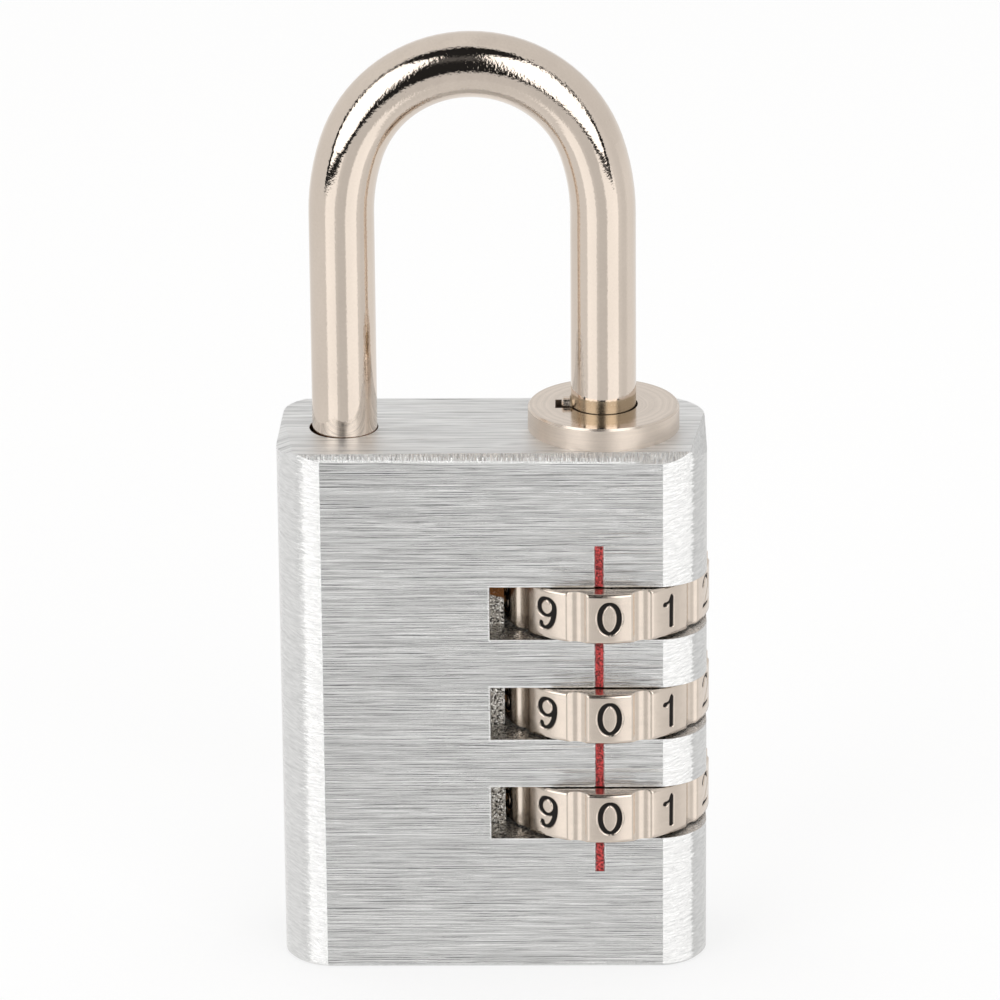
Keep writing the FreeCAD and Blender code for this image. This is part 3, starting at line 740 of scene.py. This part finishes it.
def dial_grid(sizes, low, high):
    """Points of a number ring, and how deep in a figure each lies.

    One parameter is the angle round the axis. The other runs round the section: up the outside, in over the top,
    down the bore and out below. The outside is the fluted radius, less the chamfers and the engraving, whose walls
    follow a smooth step of the distance from the strokes.
    """
    land = land_angles(sizes)
    step = 2 * math.pi / FIGURES
    turn = np.concatenate([land + n * step for n in range(FIGURES)])
    figure = np.repeat(np.arange(FIGURES), len(land))
    aside = np.tile(land, FIGURES)
    middle = (low.z + high.z) / 2 - sizes.figure_drop
    heights = land_heights(sizes, low, high, middle)

    near_rim = np.maximum(0, sizes.rim - np.minimum(heights - low.z, high.z - heights))
    outside = np.minimum(fluted_radius(sizes, aside)[None, :], (DIAL_RADIUS - near_rim)[:, None])
    up = np.broadcast_to((heights - middle)[:, None], outside.shape)
    across = np.broadcast_to((aside * DIAL_RADIUS)[None, :], outside.shape)
    ink = np.zeros(outside.shape)
    for number in range(FIGURES):
        here = figure == number
        gap = ink_distance(number, across[:, here], up[:, here], sizes)
        ink[:, here] = np.clip((sizes.wall / 2 - gap) / sizes.wall, 0, 1)
    outside = outside - sizes.depth * ink ** 2 * (3 - 2 * ink)

    notch = math.asin(sizes.notch_half / sizes.bore)
    bore = np.where(np.abs(aside) < notch, sizes.notch_tip, sizes.bore)
    radii = np.vstack([outside, outside[-1] - SHELF, bore, bore, outside[0] - SHELF])
    levels = np.concatenate([heights, [high.z, high.z, low.z, low.z]])
    ink = np.vstack([ink, np.zeros((4, ink.shape[1]))])
    around = turn - math.pi / 2 + sizes.phase
    points = np.stack([
        AXIS_X + radii * np.cos(around),
        radii * np.sin(around),
        np.broadcast_to(levels[:, None], radii.shape),
    ], -1)
    return points, ink


def smooth_noise(rng, shape, cells):
    """Random field of a shape, from values at every few cells with smooth curves between them."""
    field = np.zeros(shape)
    coarse = [max(2, int(math.ceil(n / c)) + 2) for n, c in zip(shape, cells)]
    values = rng.random(coarse) - 0.5
    place = [np.arange(n) / c for n, c in zip(shape, cells)]
    whole = [p.astype(int) for p in place]
    part = [p - w for p, w in zip(place, whole)]
    part = [p * p * (3 - 2 * p) for p in part]
    for i in (0, 1):
        for j in (0, 1):
            weight = np.outer(part[0] if i else 1 - part[0], part[1] if j else 1 - part[1])
            field += weight * values[np.ix_(whole[0] + i, whole[1] + j)]
    return field


def paint_grid(sizes, bottom, top, rng):
    """Points of one stretch of paint: a low mound over the groove's width, carried up the groove.

    Each row is a section: the front from one ragged edge to the other, then the back on the groove's floor.
    The mound falls by 0.6 of its thickness to the edges, as the sixth power of the way across. Grains raise the
    front, and both edges wander.
    """
    columns = 17
    edge_cells, grain_cells = 2.5, 1.6      # grid cells between two random values
    floor = BODY_LOW.y + sizes.groove
    count = max(8, int((top - bottom) / sizes.cell))
    across = np.linspace(-1, 1, columns)
    rise = np.linspace(bottom, top, count)
    left = smooth_noise(rng, (count, 1), (edge_cells, 1)) * sizes.ragged
    right = smooth_noise(rng, (count, 1), (edge_cells, 1)) * sizes.ragged
    half = sizes.half_width - sizes.ragged / 2 + PAINT_SIDE
    x = across * half + np.where(across < 0, left, right) * np.abs(across)
    mound = sizes.thickness * (1 - 0.6 * np.abs(across) ** 6)
    grain = smooth_noise(rng, x.shape, (grain_cells, grain_cells)) * sizes.grain * 2
    front = floor - mound - grain * (1 - across ** 8)
    rows = np.stack([x + sizes.line_x, front, np.broadcast_to(rise[:, None], x.shape)], -1)
    back = rows[:, [-1, 0]].copy()
    back[..., 1] = floor - PAINT_BACK
    return np.concatenate([rows, back], 1)


class PADLOCK_OT_dials(bpy.types.Operator):
    """Make the three number rings with their engraved and painted figures."""

    bl_idname = "padlock.dials"
    bl_label = "Number rings"

    def execute(self, context):
        sizes = context.scene.padlock_dial
        finish = engraved_nickel(context.scene.padlock_finish)
        for level in LEVELS:
            low, high = DIAL_BOXES[level]
            points, ink = dial_grid(sizes, low, high)
            ring = grid_piece("number_ring_" + level, points, "dial_" + level, finish, True)
            attribute = ring.data.attributes.new("ink", "FLOAT", "POINT")
            attribute.data.foreach_set("value", ink.reshape(-1).astype(np.float32))
            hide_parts("dial_" + level)
        return {"FINISHED"}


class PADLOCK_OT_index_line(bpy.types.Operator):
    """Paint the index line in its groove, between and beyond the slots."""

    bl_idname = "padlock.index_line"
    bl_label = "Index line"

    def execute(self, context):
        sizes = context.scene.padlock_paint
        finish = index_red(context.scene.padlock_finish, sizes)
        rng = np.random.default_rng(sizes.seed)
        floors, ceilings = zip(*slot_heights(sizes))
        low, high = line_ends(sizes)
        for number, (start, end) in enumerate(zip((low, *ceilings), (*floors, high))):
            points = paint_grid(sizes, start + PAINT_END, end - PAINT_END, rng)
            grid_piece("index_paint_%d" % number, points, "lock_body", finish, caps=True)
        return {"FINISHED"}


class PADLOCK_OT_body(bpy.types.Operator):
    """Finish the body in brushed aluminium with milled slots, with painted light and shade on its faces, edges,
    slots and hole.
    """

    bl_idname = "padlock.body"
    bl_label = "Body finish"

    def execute(self, context):
        scene = context.scene
        wear(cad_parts["body"], brushed_aluminium(scene.padlock_finish, scene.padlock_paint))
        return {"FINISHED"}


class PADLOCK_OT_shackle(bpy.types.Operator):
    """Finish the shackle, its peg and the collar in satin nickel."""

    bl_idname = "padlock.shackle"
    bl_label = "Shackle finish"

    def execute(self, context):
        looks = context.scene.padlock_finish
        wear(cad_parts["shackle"], nickel_plate("shackle_nickel", looks.nickel, looks.shackle_rough, 0.35))
        wear(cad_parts["reset_peg"], nickel_plate("peg_nickel", looks.nickel, looks.dial_rough, 1.0))
        collar = nickel_plate("collar_nickel", looks.nickel, looks.collar_rough, 0.25, turned=True)
        wear(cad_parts["collar"], collar)
        return {"FINISHED"}


class PADLOCK_OT_mechanism(bpy.types.Operator):
    """Finish the pieces inside the lock."""

    bl_idname = "padlock.mechanism"
    bl_label = "Mechanism finish"

    def execute(self, context):
        looks = context.scene.padlock_finish
        steel = plain_metal("pin_steel", looks.steel, 0.3, 3.0)
        dull = plain_metal("washer_steel", looks.steel, 0.45, 1.5)
        brass = plain_metal("sleeve_brass", looks.brass, 0.35, 1.2)
        bronze = plain_metal("spring_bronze", looks.bronze, 0.33, 2.0)
        finishes = {"lug_pin": steel, "retaining": steel, "washer": dull, "spring_seat": dull,
                    "reset_spring": steel, "sleeve": brass, "detent": bronze}
        for name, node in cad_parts.items():
            for start, finish in finishes.items():
                if name.startswith(start):
                    wear(node, finish)
        return {"FINISHED"}


def cosine(degrees):
    """Cosine of an angle in degrees."""
    return math.cos(math.radians(degrees))


def studio_world(scene):
    """World of a light tent: two tall soft boxes in a dark front, a bright back and pale sides.

    The camera sees plain white. Everything else sees the tent by direction, in degrees of azimuth, counted from
    the front towards the right, and of elevation.
    """
    world = bpy.data.worlds.new("light_tent")
    scene.world = world
    world.use_nodes = True
    graph = Graph(world.node_tree)
    x, y, z = graph.split(graph.add("ShaderNodeTexCoord", output="Generated"))
    degrees = 180 / math.pi
    azimuth = x.maths("ARCTAN2", x, 0 - y) * degrees
    elevation = z.maths("ARCSINE", z) * degrees
    aside = azimuth.size()

    # Pale walls: darker low in front, brighter low at the back, darker from the right side round to the back.
    back = (azimuth.rise(85.0, 100.0) + azimuth.rise(-140.0, -155.0)).clipped()
    level = 0.80 - 0.06 * aside.rise(60.0, 20.0) * elevation.rise(5.0, -5.0)
    level = level + 0.12 * back * elevation.rise(10.0, -10.0)
    level = level - 0.06 * azimuth.band(68.0, 176.0, 8.0)

    # Bright sheets low on both sides of the front, and a darker gap between them.
    sheets = azimuth.band(-57.0, -22.0, 3.0) + azimuth.band(15.0, 56.0, 3.0)
    level = level + 0.40 * sheets * elevation.band(-44.0, -8.0, 4.0)
    level = level - 0.06 * aside.rise(18.0, 10.0) * elevation.band(-40.0, -8.0, 5.0)

    # Dark round front about one direction, with a lighter strip across it.
    tilt, turn = math.radians(16.0), math.radians(-9.0)
    centre = math.sin(turn) * math.cos(tilt), -math.cos(turn) * math.cos(tilt), math.sin(tilt)
    near = x * centre[0] + y * centre[1] + z * centre[2]
    dark = near.rise(cosine(63.0), cosine(62.0)) * elevation.rise(-11.5, -10.0)
    level = graph.blend(dark, level, 0.02 + 0.09 * elevation.band(30.0, 44.0, 5.0))

    # Soft boxes left and right inside the dark front.
    left_box = azimuth.rise(-22.0, -24.0) * elevation.band(-6.0, 49.0, 1.0)
    right_box = azimuth.rise(7.0, 9.0) * elevation.band(-7.0, 50.0, 1.0)
    boxes = (left_box + right_box) * near.rise(cosine(56.0), cosine(55.0))
    level = graph.blend(boxes.clipped(), level, 1.9)

    level = graph.blend(graph.add("ShaderNodeLightPath", output="Is Camera Ray"), level, 1.0)
    light = graph.join(level, level * 0.995, level * 0.985)
    background = graph.add("ShaderNodeBackground", None, {"Color": light, "Strength": 1.0})
    graph.end("ShaderNodeOutputWorld", background)


def studio_floor(studio):
    """Pale floor, nearly white to the camera, which still takes the lock's soft shadow."""
    side = studio.floor
    mesh = bpy.data.meshes.new("floor")
    mesh.from_pydata([(-side, -side, 0), (side, -side, 0), (side, side, 0), (-side, side, 0)], [], [(0, 1, 2, 3)])
    floor = bpy.data.objects.new("floor", mesh)
    bpy.context.scene.collection.objects.link(floor)
    material, graph = new_finish("floor_white")
    seen = graph.add("ShaderNodeLightPath", output="Is Camera Ray")
    diffuse = graph.add("ShaderNodeBsdfDiffuse", None, {"Color": (0.93, 0.93, 0.93)})
    white = graph.add("ShaderNodeEmission", None, {"Color": (1.0, 1.0, 1.0), "Strength": 1.0})
    mixed = graph.add("ShaderNodeMixShader", None, {0: seen * studio.floor_white, 1: diffuse, 2: white})
    graph.end("ShaderNodeOutputMaterial", mixed)
    wear(floor, material)
    floor.visible_glossy = False


def studio_lamp(studio):
    """One wide lamp overhead, for the soft shadow."""
    lamp = bpy.data.lights.new("overhead", "AREA")
    lamp.size = studio.lamp_side
    lamp.energy = studio.lamp_power
    holder = bpy.data.objects.new("overhead", lamp)
    holder.location = (0, 0, studio.lamp_height)
    holder.visible_glossy = False
    bpy.context.scene.collection.objects.link(holder)


def studio_camera(scene, studio):
    """Camera at the photograph's angle, aimed at a point and turned a little about its own axis."""
    azimuth, elevation = studio.azimuth, studio.elevation
    back = Vector((math.sin(azimuth) * math.cos(elevation), -math.cos(azimuth) * math.cos(elevation),
                   math.sin(elevation)))
    level = Vector((math.cos(azimuth), math.sin(azimuth), 0))
    upright = back.cross(level)
    right = level * math.cos(studio.roll) + upright * math.sin(studio.roll)
    up = back.cross(right)
    eye = Vector((studio.aim_x, 0, studio.aim_z)) + back * studio.distance
    data = bpy.data.cameras.new("camera")
    data.lens = studio.lens
    data.sensor_width = 36.0
    data.clip_start, data.clip_end = 0.01, 20.0
    camera = bpy.data.objects.new("camera", data)
    camera.matrix_world = Matrix.Translation(eye) @ Matrix((right, up, back)).transposed().to_4x4()
    scene.collection.objects.link(camera)
    scene.camera = camera


class PADLOCK_OT_stage(bpy.types.Operator):
    """Set up the light tent, the floor, the lamp and the camera."""

    bl_idname = "padlock.stage"
    bl_label = "Studio"

    def execute(self, context):
        scene, studio = context.scene, context.scene.padlock_studio
        scene.view_settings.view_transform = "Standard"
        studio_world(scene)
        studio_floor(studio)
        studio_lamp(studio)
        studio_camera(scene, studio)
        return {"FINISHED"}


class PADLOCK_PT_panel(bpy.types.Panel):
    """Panel with the padlock's steps."""

    bl_idname = "PADLOCK_PT_panel"
    bl_label = "Combination Padlock"
    bl_space_type = "VIEW_3D"
    bl_region_type = "UI"
    bl_category = "Padlock"

    def draw(self, context):
        """Lists the steps in their order."""
        for step in STEPS:
            self.layout.operator(step.bl_idname)


STEPS = (PADLOCK_OT_dials, PADLOCK_OT_index_line, PADLOCK_OT_body, PADLOCK_OT_shackle, PADLOCK_OT_mechanism,
         PADLOCK_OT_stage)
SETTINGS = {"padlock_dial": PadlockDialSizes, "padlock_paint": PadlockPaintSizes,
            "padlock_finish": PadlockFinishes, "padlock_studio": PadlockStudio}


def register():
    """Add the settings, the steps and the panel to Blender."""
    for name, group in SETTINGS.items():
        bpy.utils.register_class(group)
        setattr(bpy.types.Scene, name, PointerProperty(type=group))
    for step in STEPS:
        bpy.utils.register_class(step)
    bpy.utils.register_class(PADLOCK_PT_panel)


def unregister():
    """Take them out again, in reverse."""
    bpy.utils.unregister_class(PADLOCK_PT_panel)
    for step in reversed(STEPS):
        bpy.utils.unregister_class(step)
    for name, group in SETTINGS.items():
        delattr(bpy.types.Scene, name)
        bpy.utils.unregister_class(group)


def main():
    """Run the steps in order."""
    register()
    bpy.ops.padlock.dials()
    bpy.ops.padlock.index_line()
    bpy.ops.padlock.body()
    bpy.ops.padlock.shackle()
    bpy.ops.padlock.mechanism()
    bpy.ops.padlock.stage()


if __name__ == "__main__":
    main()
